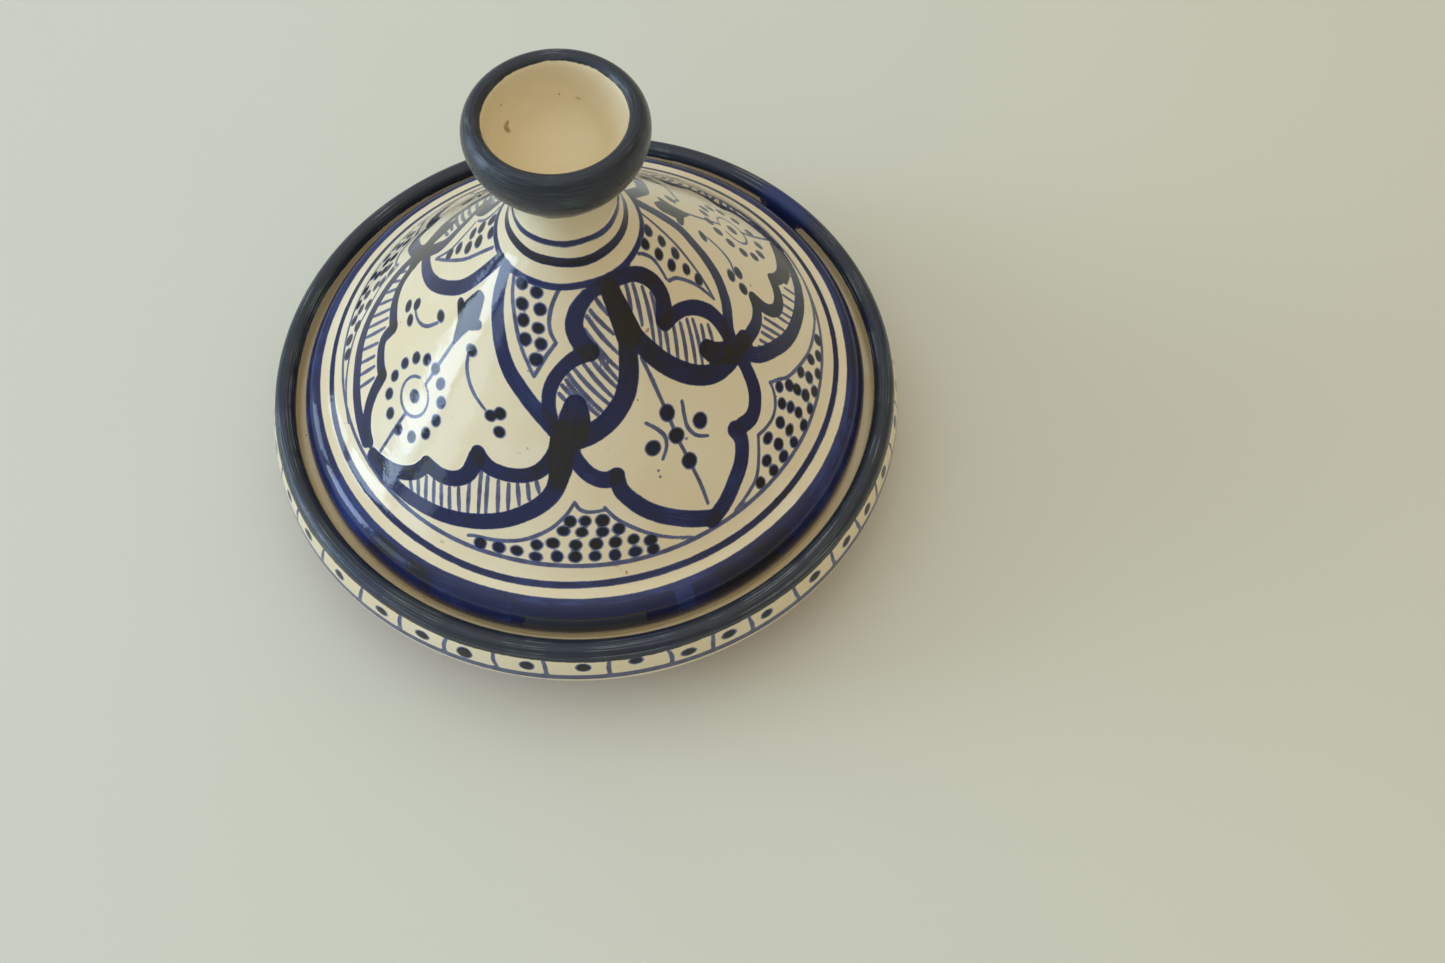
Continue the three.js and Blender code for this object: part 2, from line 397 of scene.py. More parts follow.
def outline_of(node):
    """The node's outline in millimetres, (radius, height), walked from axis to axis."""
    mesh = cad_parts[node].data
    spots = {}
    for vertex in mesh.vertices:
        radius = math.hypot(vertex.co.x, vertex.co.y)
        if radius < ON_AXIS or (vertex.co.x > 0 and abs(vertex.co.y) < ON_AXIS):
            spots[vertex.index] = (round(radius / MM, 3), round(vertex.co.z / MM, 3))
    beside = {spot: set() for spot in spots.values()}
    for edge in mesh.edges:
        a = spots.get(edge.vertices[0])
        b = spots.get(edge.vertices[1])
        if a is not None and b is not None and a != b:
            beside[a].add(b)
            beside[b].add(a)
    ends = sorted((spot for spot in beside if len(beside[spot]) == 1), key=lambda spot: spot[1])
    walk = [ends[0]]
    while walk[-1] != ends[1]:
        walk.append(next(spot for spot in beside[walk[-1]] if spot not in walk[-2:]))
    return np.array(walk)


def unit(vector):
    return vector / np.linalg.norm(vector)


def smooth_knots(points):
    """Outline points with the direction the outline has there; corners become two knots."""
    knots = [(points[0], unit(points[1] - points[0]))]
    for before, here, after in zip(points[:-2], points[1:-1], points[2:]):
        run_in = np.linalg.norm(here - before)
        run_out = np.linalg.norm(after - here)
        way_in = (here - before) / run_in
        way_out = (after - here) / run_out
        turn = math.degrees(math.acos(np.clip(way_in @ way_out, -1.0, 1.0)))
        if turn > CORNER_TURN:
            cut = min(CORNER_CUT, run_in * CORNER_SHARE, run_out * CORNER_SHARE)
            knots.append((here - way_in * cut, way_in))
            knots.append((here + way_out * cut, way_out))
        elif run_in > STRAIGHT:
            knots.append((here, way_in))
        elif run_out > STRAIGHT:
            knots.append((here, way_out))
        else:
            knots.append((here, unit(way_in * run_out + way_out * run_in)))
    knots.append((points[-1], unit(points[-1] - points[-2])))
    return knots


def fine_outline(points, spacing):
    """Rows of the turned surface: (radius, height) no further apart than spacing asks for."""
    rows = []
    knots = smooth_knots(points)
    for (start, way_out), (end, way_in) in zip(knots[:-1], knots[1:]):
        chord = np.linalg.norm(end - start)
        count = max(1, math.ceil(chord / spacing((start + end) / 2)))
        for step in range(count):
            t = step / count
            along = (2 * t**3 - 3 * t**2 + 1) * start + (3 * t**2 - 2 * t**3) * end
            rows.append(along + (t**3 - 2 * t**2 + t) * chord * way_out + (t**3 - t**2) * chord * way_in)
    rows.append(points[-1])
    return np.array(rows)


def turns_for(radius, spacing):
    """How many vertices go round a row: doubled from the fewest, so that rows can be joined."""
    turns = FEWEST_TURNS
    while turns < MOST_TURNS and 2 * math.pi * radius / turns > spacing:
        turns *= 2
    return turns


def join_rows(first, turns_a, second, turns_b):
    """Faces between two rows of vertices, which have the same count or one twice the other."""
    faces = []
    if turns_a == turns_b:
        for i in range(turns_a):
            j = (i + 1) % turns_a
            faces.append((first + i, first + j, second + j, second + i))
    elif turns_b == 2 * turns_a:
        for i in range(turns_a):
            a, b = first + i, first + (i + 1) % turns_a
            c, d, e = second + 2 * i, second + 2 * i + 1, second + (2 * i + 2) % turns_b
            faces += [(a, d, c), (a, b, d), (b, e, d)]
    else:
        faces = [face[::-1] for face in join_rows(second, turns_b, first, turns_a)]
    return faces


class Turned:
    """A closed turned surface, with each vertex's angle, radius, height and place along the outline."""

    def __init__(self, node, spacing):
        rows = fine_outline(outline_of(node), spacing)
        lengths = np.linalg.norm(np.diff(rows, axis=0), axis=1)
        runs = np.concatenate([[0.0], np.cumsum(lengths)])
        places = [(0.0, 0.0, rows[0][1], runs[0])]
        faces = []
        last_start, last_turns = 0, 1
        for (radius, height), run in zip(rows[1:-1], runs[1:-1]):
            turns = turns_for(radius, spacing((radius, height)))
            if last_turns > 1:
                turns = min(max(turns, last_turns // 2), last_turns * 2)
            start = len(places)
            for i in range(turns):
                places.append((360.0 * i / turns - 180.0, radius, height, run))
            if last_turns == 1:
                for i in range(turns):
                    faces.append((0, start + (i + 1) % turns, start + i))
            else:
                faces += join_rows(last_start, last_turns, start, turns)
            last_start, last_turns = start, turns
        places.append((0.0, 0.0, rows[-1][1], runs[-1]))
        for i in range(last_turns):
            faces.append((last_start + i, last_start + (i + 1) % last_turns, len(places) - 1))
        self.angle, self.radius, self.height, self.run = np.array(places).T
        self.faces = faces
        self.rows = rows
        self.runs = runs

    def run_at(self, radius, height):
        """Place along the outline of the row nearest to a point of the section."""
        return self.runs[np.argmin(np.hypot(self.rows[:, 0] - radius, self.rows[:, 1] - height))]

    def make(self, name, hand, layers):
        """The mesh object; hand is the slow unevenness of the thrown wall, in millimetres."""
        radius = self.radius + hand
        turn = np.radians(self.angle)
        spots = np.column_stack([radius * np.cos(turn), radius * np.sin(turn), self.height]) * MM
        mesh = bpy.data.meshes.new(name)
        mesh.from_pydata(spots.tolist(), [], self.faces)
        mesh.polygons.foreach_set("use_smooth", [True] * len(mesh.polygons))
        for layer, values in layers.items():
            attribute = mesh.attributes.new(layer, "FLOAT", "POINT")
            attribute.data.foreach_set("value", values.astype(np.float32))
        mesh.update()
        piece = bpy.data.objects.new(name, mesh)
        bpy.context.collection.objects.link(piece)
        return piece


def thrown_by_hand(surface, phase, amount):
    """A few slow waves round and up the wall, fading to nothing at the axis."""
    turn = np.radians(surface.angle)
    waves = (np.sin(2 * turn + phase) + 0.6 * np.sin(3 * turn - 2 * phase + surface.height / 23)
             + 0.35 * np.sin(5 * turn + 3 * phase - surface.height / 11))
    return amount * waves * np.clip(surface.radius / 40, 0, 1)


# ---------------- brushwork

REACH = FAR / 2  # how far outside a mark its distance is worked out
SMALLEST_RADIUS = 15.0  # nearer the axis the reach in degrees grows no more
CURVE_STEP = 1.4  # between the samples of a stroke
USUAL_RADIUS = 60.0  # turns degrees into a rough length
STREAK_SHIFT = 7.0  # so that strokes don't share their streaks
STREAK_REPEAT = 13
SLOW_WAVER = 0.25  # how far a band wavers three times round
QUICK_WAVER = 0.15  # and seven times round


class Painting:
    """Signed distances in millimetres from every vertex to the brush marks, negative inside."""

    def __init__(self, angle, radius, down, where):
        self.angle, self.radius, self.down, self.where = angle, radius, down, where
        count = len(angle)
        self.layers = {name: np.full(count, FAR) for name in
                       ("heavy", "overlap", "fine", "dot", "worn", "clay", "stain")}
        self.layers.update({name: np.zeros(count) for name in
                            ("load", "across", "along", "blue", "edge_shade", "pool_and_bounce")})

    def near(self, angles, downs):
        """Vertices close to a mark, and their turn in degrees from its middle."""
        middle = (min(angles) + max(angles)) / 2
        turn = (self.angle - middle + 180) % 360 - 180
        reach = np.degrees(REACH / np.maximum(self.radius, SMALLEST_RADIUS))
        inside = (np.abs(turn) < (max(angles) - min(angles)) / 2 + reach) & self.where
        inside &= (self.down > min(downs) - REACH) & (self.down < max(downs) + REACH)
        picked = np.nonzero(inside)[0]
        return picked, turn[picked], middle

    def lay(self, layer, picked, signed, load, across, along):
        """Paint over what is there; heavy paint also keeps its bristles and where marks overlap."""
        old = self.layers[layer][picked]
        if layer == "heavy":
            both = np.maximum(old, signed)
            self.layers["overlap"][picked] = np.minimum(self.layers["overlap"][picked], both)
            for name, values in (("load", load), ("across", across), ("along", along)):
                self.layers[name][picked] = np.where(signed < old, values, self.layers[name][picked])
        self.layers[layer][picked] = np.minimum(old, signed)

    def brush(self, layer, points, width, load=0.6):
        """A stroke through points of (degrees, millimetres down), as wide as width says."""
        path = curve_through(points)
        picked, turn, middle = self.near(path[:, 0], path[:, 1])
        if not len(picked):
            return
        radius = self.radius[picked, None]
        x = np.radians(path[None, :, 0] - middle - turn[:, None]) * radius
        y = path[None, :, 1] - self.down[picked, None]
        run_x, run_y = np.diff(x, axis=1), np.diff(y, axis=1)
        length2 = np.maximum(run_x**2 + run_y**2, 1e-9)
        t = np.clip(-(x[:, :-1] * run_x + y[:, :-1] * run_y) / length2, 0, 1)
        gap = np.hypot(x[:, :-1] + t * run_x, y[:, :-1] + t * run_y)
        steps = np.linspace(0, 1, path.shape[0])
        widths = np.interp(steps, np.linspace(0, 1, len(width)), width) / 2
        half = widths[None, :-1] + t * np.diff(widths)[None, :]
        signed = gap - half
        best = np.argmin(signed, axis=1)
        rows = np.arange(len(picked))
        signed = signed[rows, best]
        side = np.sign(run_x[rows, best] * y[rows, best] - run_y[rows, best] * x[rows, best])
        shift = STREAK_SHIFT * (path[0, 1] % STREAK_REPEAT)
        flat = np.column_stack([np.radians(path[:, 0]) * radius.mean(), path[:, 1]])
        reached = np.concatenate([[0], np.cumsum(np.hypot(*np.diff(flat, axis=0).T))])
        self.lay(layer, picked, signed, load, side * gap[rows, best] + shift, reached[best])

    def dot(self, angle, down, wide, tall=None, layer="dot"):
        """An oval dot of those half widths, round if only one is given."""
        tall = wide if tall is None else tall
        picked, turn, _ = self.near([angle], [down])
        x = np.radians(turn) * self.radius[picked] / wide
        y = (self.down[picked] - down) / tall
        signed = (np.hypot(x, y) - 1) * min(wide, tall)
        self.layers[layer][picked] = np.minimum(self.layers[layer][picked], signed)

    def ring(self, layer, top, bottom, load=0.5):
        """A band painted right round, wavering a little as the wheel turns."""
        slow = SLOW_WAVER * np.sin(np.radians(3 * self.angle) + top)
        quick = QUICK_WAVER * np.sin(np.radians(7 * self.angle) - bottom)
        waver = slow + quick
        middle, half = (top + bottom) / 2, (bottom - top) / 2
        signed = np.where(self.where, np.abs(self.down + waver - middle) - half, FAR)
        self.lay(layer, slice(None), signed, load, self.down, np.radians(self.angle) * self.radius)


def curve_through(points):
    """A smooth curve through the points, sampled closely enough to look unbroken."""
    points = np.array(points, float)
    if len(points) == 1:
        points = np.repeat(points, 2, axis=0) + [[0, 0], [0.01, 0.01]]
    ends = np.vstack([2 * points[0] - points[1], points, 2 * points[-1] - points[-2]])
    samples = []
    for before, start, end, after in zip(ends[:-3], ends[1:-2], ends[2:-1], ends[3:]):
        length = math.hypot(math.radians(end[0] - start[0]) * USUAL_RADIUS, end[1] - start[1])
        for t in np.linspace(0, 1, max(2, math.ceil(length / CURVE_STEP)), endpoint=False):
            samples.append(0.5 * (2 * start + (end - before) * t
                                  + (2 * before - 5 * start + 4 * end - after) * t**2
                                  + (3 * start - before - 3 * end + after) * t**3))
    samples.append(points[-1])
    return np.array(samples)


# Places on the lid are (degrees round the axis, millimetres down the cone from the collar).
# -90 degrees faces the viewer. The painting covers half a turn and is then repeated.

STROKES = [
  # (points, widths along the stroke, how loaded the brush was)
  # long bands that frame the pointed panel
    ([(-141, 2), (-135, 13), (-130, 20), (-122, 30), (-115, 38), (-105, 47), (-97, 55), (-92, 61)],
     (5.0, 6.0, 6.4, 6.2), 0.42),
    ([(-150, 2), (-158, 23), (-165, 33), (-175, 44), (-185, 52), (-194, 58), (-198, 62)],
     (5.0, 6.0, 6.2, 6.0), 0.42),
  # its bud
    ([(-145.5, 21), (-145.2, 27), (-144.6, 34), (-143.6, 43)], (6.0, 10.5, 6.5, 1.6), 0.95),
    ([(-146, 34), (-153.5, 30)], (4.5, 4.0), 0.95),
    ([(-144, 34), (-137.5, 29.5)], (4.5, 4.0), 0.95),
  # scallops along its foot
    ([(-92, 62), (-93.5, 69), (-97, 76), (-102, 80), (-108, 81.3), (-113, 80.5), (-117, 77)],
     (6.5, 6.0, 6.0, 6.6), 0.80),
    ([(-117, 79), (-118, 87), (-120.5, 91.5), (-125, 94.3), (-130.5, 94)], (7.5, 6.5, 6.4), 0.92),
    ([(-130.5, 95), (-132.5, 101), (-136, 106), (-140.5, 109.5), (-146, 112)], (6.6, 6.0, 5.2), 0.80),
  # and the arc outside them
    ([(-91, 72), (-93, 84), (-96.5, 91), (-101.5, 97), (-107, 102), (-115, 107), (-122, 110), (-130, 112),
      (-138, 113.2), (-146, 113.5)], (8.0, 7.0, 6.6, 6.2, 5.6), 0.50),
  # left leaf: two lobes, and the long side back to the stalk
    ([(-60, 2.5), (-68, 3.8), (-75, 6), (-81, 10), (-84, 15.5), (-83, 20), (-80.5, 24), (-77.5, 27)],
     (5.5, 5.2, 6.4, 7.2, 7.4), 0.72),
    ([(-77, 27.5), (-82, 28.3), (-88, 31), (-93, 36), (-95.8, 42), (-96, 49), (-94.5, 56), (-92.5, 61)],
     (7.0, 5.4, 5.6, 6.0), 0.74),
    ([(-57.6, 20), (-59.4, 29.5), (-62, 38.2), (-65.5, 46), (-70, 52), (-76, 57.5), (-83, 61.5), (-89, 63.5)],
     (5.0, 8.0, 8.4, 8.4, 8.8), 0.82),
  # right leaf
    ([(-52, 2.5), (-43, 4), (-35, 6.3), (-29.5, 10.3), (-27, 16), (-28.5, 21.5), (-32, 25.5), (-36, 29)],
     (6.2, 6.0, 7.0, 8.0), 0.74),
    ([(-36.5, 30.5), (-30, 31), (-24, 33.3), (-18.5, 38.3), (-15.5, 45), (-15.5, 51.5), (-17.5, 59)],
     (6.4, 6.0, 7.0, 7.4), 0.76),
    ([(-54.6, 20), (-52.4, 30), (-49.3, 38.5), (-45.5, 46), (-41, 53), (-36.5, 58.3), (-32, 62),
      (-26, 64.3), (-20, 65.5)],
     (5.0, 8.2, 8.6, 8.4, 8.2), 0.78),
  # stalk between the leaves
    ([(-56.4, 3), (-56.3, 9), (-56.1, 18), (-56.0, 25.5)], (7.0, 8.4, 9.8, 10.8), 1.40),
  # buds that hang inside the leaves
    ([(-86.0, 48.2), (-86.5, 54), (-87.5, 60.5)], (8.5, 12.5, 12.0), 1.00),
    ([(-28.2, 52.5), (-26.5, 57.5), (-22.0, 62.0)], (8.0, 10.0, 9.0), 0.92),
  # knots where the panels meet
    ([(-91, 59), (-91, 66), (-91.3, 73), (-92.3, 82)], (9.0, 10.5, 10.0, 7.0), 0.88),
    ([(-22, 64), (-18, 66.5), (-14, 67.5)], (9.0, 11.0, 9.0), 0.92),
  # lower edge of the leaf panel
    ([(-88.5, 66), (-86, 73), (-82.5, 78.5), (-78.5, 81), (-75.5, 80)], (6.0, 6.6, 7.0), 0.58),
    ([(-75.3, 79.5), (-75, 86), (-72.5, 92), (-69, 98), (-64.5, 103.5), (-59.5, 108.5), (-54.5, 112.8)],
     (6.0, 7.0, 7.0, 7.2), 0.60),
    ([(-20, 68), (-21.8, 75), (-24.3, 82), (-27.8, 86.8), (-31.5, 89), (-35.5, 87.8)], (6.4, 7.0, 7.2), 0.58),
    ([(-37.8, 86.5), (-37.8, 92), (-41, 99), (-46, 105), (-50, 109.5), (-55, 113.5)], (7.0, 7.0, 6.8), 0.60),
]

HATCH = [
  # right half of the pointed panel's border
    ((-98.3, 81.5), (-97.2, 86.5)), ((-100.7, 83), (-99.8, 90)), ((-103.5, 84), (-102.3, 93)),
    ((-106, 85), (-105, 96.5)), ((-109, 85), (-107.5, 99)), ((-112.3, 84.5), (-110.5, 101)),
    ((-114.6, 83), (-112.4, 102)), ((-117, 90), (-115, 104)), ((-119.4, 95), (-117, 106)),
    ((-121.8, 97), (-119.5, 107.5)), ((-124.2, 98), (-121.8, 108)), ((-126.6, 98), (-124, 109)),
    ((-129, 99), (-126.2, 110)), ((-131, 102), (-128.5, 110)), ((-133, 105), (-130.5, 110.5)),
  # left leaf
    ((-67.7, 7), (-63.1, 14.8)), ((-73.2, 10.8), (-63.6, 22.7)), ((-76.1, 12.7), (-64.3, 30.8)),
    ((-78.6, 17.8), (-66.3, 36.8)), ((-75.3, 26.5), (-67.4, 41.9)), ((-77.6, 30), (-68.6, 44.6)),
    ((-81.4, 31.2), (-70.6, 48.6)), ((-86.3, 32.3), (-72.6, 50.8)), ((-88.8, 34.6), (-75.1, 53.8)),
    ((-89.3, 37.8), (-77, 55)), ((-91.1, 40), (-86.5, 45)), ((-92.2, 43.5), (-89.5, 46.5)),
  # right leaf
    ((-44.2, 7.3), (-49.3, 17.3)), ((-39.8, 9), (-47.8, 25)), ((-35.5, 12.7), (-46.7, 33.8)),
    ((-33, 17), (-45.7, 38.5)), ((-37.7, 30.8), (-43.7, 42.3)), ((-34, 33.8), (-41.6, 46.5)),
    ((-30.3, 35.4), (-39.2, 50.4)), ((-26.5, 36.9), (-36.7, 53.8)), ((-24.2, 39.2), (-34.4, 56.2)),
    ((-23, 44.2), (-29, 52)), ((-20.5, 46.9), (-24.2, 53)),
]

# the left half of the pointed panel's border, which was painted differently each time round
BORDER_STROKES = [
    ([(-149, 110.5), (-152.5, 108), (-156, 103), (-158.5, 96), (-160, 88)], (5.2, 6.0, 6.4), 0.80),
    ([(-160.5, 88), (-165, 87), (-170.5, 83.5), (-171.5, 75.5)], (6.0, 5.6, 6.2), 0.80),
    ([(-171.5, 75), (-176, 75.6), (-182, 75.8), (-188, 74), (-193, 68.5), (-197, 62)], (6.2, 6.0, 6.4), 0.80),
    ([(-150, 112.5), (-160, 109), (-168, 105.5), (-176, 102), (-183, 97), (-190, 89), (-195, 81), (-198, 73),
      (-198.5, 64)], (5.4, 6.0, 6.4, 7.0), 0.50),
]
BORDER_HATCH = [
    ((-193, 74.5), (-194, 80)), ((-190, 77), (-191.5, 84)), ((-187, 78), (-188.5, 88)),
    ((-183.5, 79), (-185.5, 92)), ((-180, 79.5), (-182.3, 95)), ((-177, 80), (-179.5, 98)),
    ((-174.3, 82), (-176.8, 100)), ((-171.2, 88), (-173.5, 101)), ((-168, 91), (-170, 103)),
    ((-165, 92), (-166.8, 105)), ((-162, 94), (-163.5, 106)),
]
BORDER_STROKES_AGAIN = [
    ([(-19, 64), (-16.5, 67), (-12, 69), (-5, 72), (0, 72), (4, 70)], (6.6, 6.2, 6.0), 0.80),
    ([(4, 70), (3, 78), (5, 85), (10, 88.5), (17, 88)], (6.4, 6.0, 6.2), 0.86),
    ([(17, 88), (18.5, 93), (22, 99), (28, 105), (33, 109)], (6.2, 6.0, 5.4), 0.80),
    ([(-19, 66), (-17, 71), (-14, 78), (-8, 86), (-2, 93), (5, 99), (13, 105), (22, 110), (29, 112),
      (34, 112.8)],
     (7.0, 6.8, 6.4, 5.6), 0.55),
    ([(19, 98), (23, 103.5), (28, 108)], (4.4, 5.0, 4.0), 0.90),
]
BORDER_HATCH_AGAIN = [
    ((-12, 76), (-11, 80)), ((-9.5, 76), (-8.5, 85)), ((-6.5, 76), (-5.5, 87)), ((-4, 76), (-3, 89)),
    ((-0.8, 77), (-0.3, 91.5)), ((3, 86), (3, 94)), ((5.5, 89), (5.5, 97)), ((8.8, 91), (8.5, 99.5)),
    ((12.5, 92.5), (12, 101.5)), ((15.8, 96), (15.3, 103)),
]

LINES = [
  # axis of the pointed panel, its flower's ring and two curls
    [(-143.6, 43), (-143.9, 52), (-144.0, 67)],
    [(-144.5, 84.5), (-144.6, 95), (-144.5, 110)],
    [(-134.5, 42.5), (-132.5, 47), (-129, 51.5), (-124.5, 55.3), (-119, 58.5)],
    [(-156.5, 46), (-160, 53), (-165, 57), (-171, 58.3)],
  # axis of the leaf panel and the two brackets beside it
    [(-55, 36), (-54.6, 47), (-54.5, 62)],
    [(-54.5, 64), (-54.7, 74), (-54.2, 84)],
    [(-54.2, 86), (-54.0, 97), (-54.3, 106)],
    [(-62.6, 62), (-59.8, 66), (-58.2, 70.5), (-58.9, 74.8), (-61.2, 79)],
    [(-48, 61), (-49.6, 67), (-50.3, 72), (-49, 77), (-45.8, 80.4)],
  # outlines of the dotted fields under the collar
    [(-131.5, 1), (-127, 8), (-123, 13), (-118, 19), (-112, 27), (-107, 33), (-103, 38)],
    [(-92, 1), (-95.5, 4.5), (-98, 9.5), (-98.5, 15), (-97, 19.5), (-94, 23)],
    [(-94, 23), (-98, 28), (-101, 33.5), (-103, 38)],
    [(-21, 2.5), (-17.5, 5), (-15.2, 9), (-16, 13.5), (-19, 19.5)],
    [(-18.5, 21), (-14, 23.5), (-10.5, 29), (-8.5, 36), (-8.5, 45.5)],
    [(17, 2.5), (12, 11), (7, 20), (2, 28), (-3, 36.5), (-8.5, 45.5)],
  # outlines of the dotted fields along the foot
    [(-113.5, 113), (-112, 112), (-106, 110.5), (-100, 107.5), (-94, 101.5), (-90, 95), (-87.7, 89.5)],
    [(-87.7, 89.5), (-86.5, 92.5), (-84, 94), (-80, 93.7)],
    [(-80, 92.5), (-77.5, 98), (-74, 103), (-70, 108), (-66, 112), (-61, 116)],
    [(-49, 115.8), (-44, 113), (-40, 110), (-36.5, 104), (-33, 97)],
    [(-33, 97), (-30, 97.9), (-26, 98), (-22.5, 95.7), (-20, 91.7), (-19, 88.3)],
    [(-19, 88.3), (-16, 92.3), (-13, 97), (-8, 101.7), (-2, 107), (5, 111.5), (12, 115), (22, 117)],
]

FLOWER = (-145.2, 76.0)  # centre of the flower in the pointed panel
FLOWER_RING = 8.4
FLOWER_REACH = (15.6, 17.2)  # half width and half height of the ring of dots
FLOWER_DOTS = 13

BIG_DOTS = [(-54.5, 62), (-54.7, 72.5), (-63, 73), (-45.7, 72.7), (-54.2, 85)]

DOTS = [
  # tips of the curls, and the clusters beside them
    (-134, 40), (-116.5, 59.7), (-113.4, 57.3), (-112, 64.8),
    (-157.5, 43), (-172.2, 56.7), (-174.7, 63.4), (-168.5, 62.6),
  # under the collar, left field
    (-122.5, 3.5), (-109.5, 4.5), (-117.5, 11), (-105, 10.7), (-114, 17), (-104.3, 18.3),
    (-110.3, 24.2), (-101.7, 24.4), (-103, 31),
  # under the collar, right field
    (-9.5, 4), (3.5, 4.5), (-8.7, 12), (2, 12.5), (-9, 19.5), (0, 20.5), (-4.7, 27.7), (-4.9, 35.3),
  # along the foot, left field
    (-89, 97.7), (-85.2, 97.7), (-80.9, 98), (-90.7, 102), (-86.2, 102.5), (-81.2, 103), (-77.2, 102.7),
    (-97, 109), (-93.2, 107.5), (-87.8, 108), (-83, 108), (-78.5, 108.3), (-74.2, 108.5),
    (-110.3, 114.3), (-105.8, 113.6), (-101.5, 113), (-97, 114.3), (-92.2, 113.3), (-88, 113.3),
    (-83.5, 113.3), (-79, 113.8), (-74.3, 114), (-70.3, 110.7), (-70.2, 115),
  # along the foot, right field
    (-17.7, 94), (-21, 99), (-15, 99), (-31.2, 101.8), (-25.4, 102.8), (-19.8, 104), (-14.3, 104),
    (-9, 103.6), (-35.3, 108.3), (-29.9, 108), (-24.8, 109), (-19.2, 109.3), (-13.8, 109.8), (-8.6, 109.5),
    (-3.3, 109), (-40, 113.3), (-35.3, 114.2), (-30.9, 113.8), (-26.2, 114.3), (-20.8, 114.8),
    (-16, 114.8), (-11, 114.5), (-5.8, 114.8), (-0.8, 114.3), (3.9, 114.5),
]

SPECKS = [(-102, 68.3), (-52.2, 75.9), (-63.5, 83), (-63.6, 85.6), (-171, 69.5)]

# (degrees, millimetres down, half width, half height) of small brown stains
STAINS = [(-79, 118.6, 0.6, 0.5), (-77, 122.5, 0.7, 0.6), (-78, 120.5, 0.4, 0.4), (-117, 75.4, 0.9, 0.5),
          (-112, 85.5, 0.8, 0.4), (-46.5, 28, 1.3, 0.8), (-104.5, 71, 1.2, 0.35), (-119, 121, 0.8, 0.4)]

DOT_HALF = 3.05
BIG_DOT_HALF = 3.6
LINE_WIDTH = 1.8
HATCH_WIDTH = 2.0
BRUSH_SPREAD = 0.6  # every heavy stroke is pressed this much wider
SPECK_HALF = 0.6
LOAD_SPREAD = 0.04  # how unevenly the brush is loaded when a stroke is repeated

# bands painted round the lid, measured as the painting is: (top, bottom, load)
NECK_RINGS = [(-19.1, -15.6, 0.42), (-11.2, -6.9, 0.86)]
COLLAR_LINE = (-0.8, 2.4, 0.34)
FOOT_LINE = (116.0, 118.2)
THIN_RING = (123.9, 127.2, 0.58)
WIDE_BAND = (131.2, 149.3, 0.34)
# stretches of the wide band that were gone over again: (from, to) in degrees, (top, bottom), load
LAPS = [
    ((-98, -71), (131.5, 149.2), 2.0),
    ((-131, -120), (131.4, 149.2), 0.66),
    ((-62, -44), (131.4, 149.2), 0.60),
    ((-10, 22), (131.4, 149.2), 0.18),
    ((40, 75), (131.4, 149.2), 0.62),
    ((100, 128), (131.4, 149.2), 2.0),
    ((150, 171), (131.4, 149.2), 0.18),
]
EDGE_SHADE_SPAN = (145.5, 150.0, 151.6)  # painted shade: a brown edge under the wide band, where it turns down to the lid's edge: it starts, is deepest, ends
EDGE_SHADE_DEPTH = 0.75


def nudged(points, amount):
    """The same marks set down again by hand, each a little off."""
    shift = rng.normal(0, amount, (len(points), 2)) * [0.6, 1.0]
    return [(a + da, d + dd) for (a, d), (da, dd) in zip(points, shift)]


def paint_half(painting, turn, loose, border_strokes, border_hatch):
    """Half a turn of the painting; loose is how far the hand strays from the pattern, in mm."""
    def moved(points):
        return [(a + turn, d) for a, d in nudged(points, loose)]

    hatch_widths = (HATCH_WIDTH * 0.9, HATCH_WIDTH * 1.1, HATCH_WIDTH * 0.8)
    for line in border_hatch:
        painting.brush("fine", line, hatch_widths)
    for line in HATCH:
        painting.brush("fine", moved(line), hatch_widths)
    for points, widths, load in border_strokes:
        painting.brush("heavy", points, np.add(widths, BRUSH_SPREAD), load)
    for points, widths, load in STROKES:
        path = moved(points)
        uneven_load = load + rng.normal(0, LOAD_SPREAD)
        painting.brush("heavy", path, np.add(widths, BRUSH_SPREAD), uneven_load)
    for line in LINES:
        painting.brush("fine", moved(line), (LINE_WIDTH, LINE_WIDTH * 1.1, LINE_WIDTH * 0.9))
    for angle, down in moved(DOTS):
        wide = DOT_HALF * rng.uniform(0.90, 1.06)
        tall = DOT_HALF * rng.uniform(0.80, 0.98)
        painting.dot(angle, down, wide, tall)
    for angle, down in moved(BIG_DOTS):
        wide = BIG_DOT_HALF * rng.uniform(0.95, 1.05)
        tall = BIG_DOT_HALF * rng.uniform(0.95, 1.1)
        painting.dot(angle, down, wide, tall)
    for angle, down in moved(SPECKS):
        painting.dot(angle, down, SPECK_HALF)
    for angle, down, wide, tall in STAINS:
        painting.dot(angle + turn, down, wide, tall, "stain")
    paint_flower(painting, turn)


def paint_flower(painting, turn):
    """A dot in a ring in a ring of dots, on the pointed panel's axis."""
    angle, down = FLOWER[0] + turn, FLOWER[1]
    radius = float(np.interp(down, painting.down_of, painting.radius_of))

    def around(reach_x, reach_y, degrees):
        x = reach_x * math.sin(math.radians(degrees))
        y = reach_y * math.cos(math.radians(degrees))
        return (angle + math.degrees(x / radius), down - y)

    ring = [around(FLOWER_RING, FLOWER_RING, step) for step in range(8, 360, 22)]
    painting.brush("fine", ring, (1.3, 1.7, 1.5))
    painting.dot(angle, down, DOT_HALF, DOT_HALF)
    for i in range(FLOWER_DOTS):
        spot_angle, spot_down = around(*FLOWER_REACH, 360 * (i + 0.2) / FLOWER_DOTS)
        painting.dot(spot_angle, spot_down, DOT_HALF * 0.84, DOT_HALF * 0.96)


# ---------------- lid

